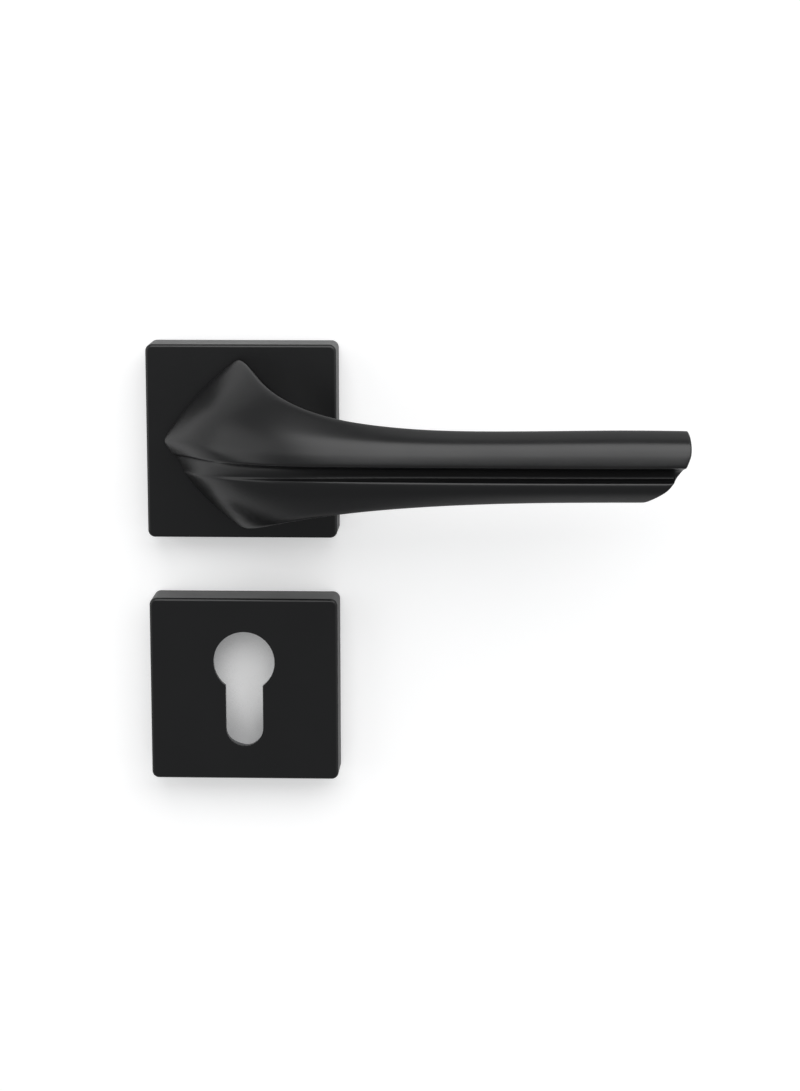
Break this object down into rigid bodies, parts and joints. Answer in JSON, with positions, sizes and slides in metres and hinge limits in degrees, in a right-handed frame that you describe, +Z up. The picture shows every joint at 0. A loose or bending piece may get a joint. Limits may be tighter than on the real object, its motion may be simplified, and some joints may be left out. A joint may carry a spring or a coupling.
{
  "type": "lever handle lockset",
  "caption": "Black lever handle sprung on a square rose, with a separate square escutcheon pierced for a euro profile cylinder.",
  "frame": {"origin": "on the spindle axis, in the plane of the door's face, which is the plane of the rose's back", "axes": "+X along the lever's arm, +Z up, +Y into the door, so the room side is -Y"},
  "size_m": [0.1519, 0.1146, 0.1259],
  "materials": {
    "black_coated_zinc": "satin black powder coat",
    "zinc_casting": "as-cast zinc alloy, dull",
    "zinc_plated_steel": "zinc plated, satin",
    "spring_steel": "oiled spring steel",
    "black_oxide_steel": "black oxide",
    "white_nylon": "moulded, matte",
    "black_nylon": "moulded, matte",
    "grey_foam": "closed-cell foam, matte"
  },
  "bodies": {
    "door_plates": {"return_spring": "spring_steel", "bearing_bush": "white_nylon", "neck_ring": "black_nylon", "rose_cover": "black_coated_zinc", "rose_base": "zinc_casting", "rose_gasket": "grey_foam", "rose_fixing_bolts": "zinc_plated_steel", "rose_wood_screws": "zinc_plated_steel", "rose_cover_grub_screw": "black_oxide_steel", "escutcheon_cover": "black_coated_zinc", "escutcheon_base": "zinc_casting", "escutcheon_gasket": "grey_foam", "escutcheon_fixing_bolts": "zinc_plated_steel", "escutcheon_wood_screws": "zinc_plated_steel", "escutcheon_cover_grub_screw": "black_oxide_steel"},
    "lever": {"lever_handle": "black_coated_zinc", "spindle": "zinc_plated_steel", "lever_grub_screw": "black_oxide_steel", "driver_plate": "zinc_plated_steel", "thrust_washer": "white_nylon", "retaining_ring": "spring_steel"}
  },
  "joints": [
    {"name": "lever_turn", "type": "hinge", "parent": "door_plates", "child": "lever", "pos_m": [0, 0, 0], "axis": [0, 1, 0], "range_deg": [0, 45], "stiffness_Nm_per_rad": 0.7, "springref_deg": -34.38, "deforming": ["return_spring"]}
  ]
}
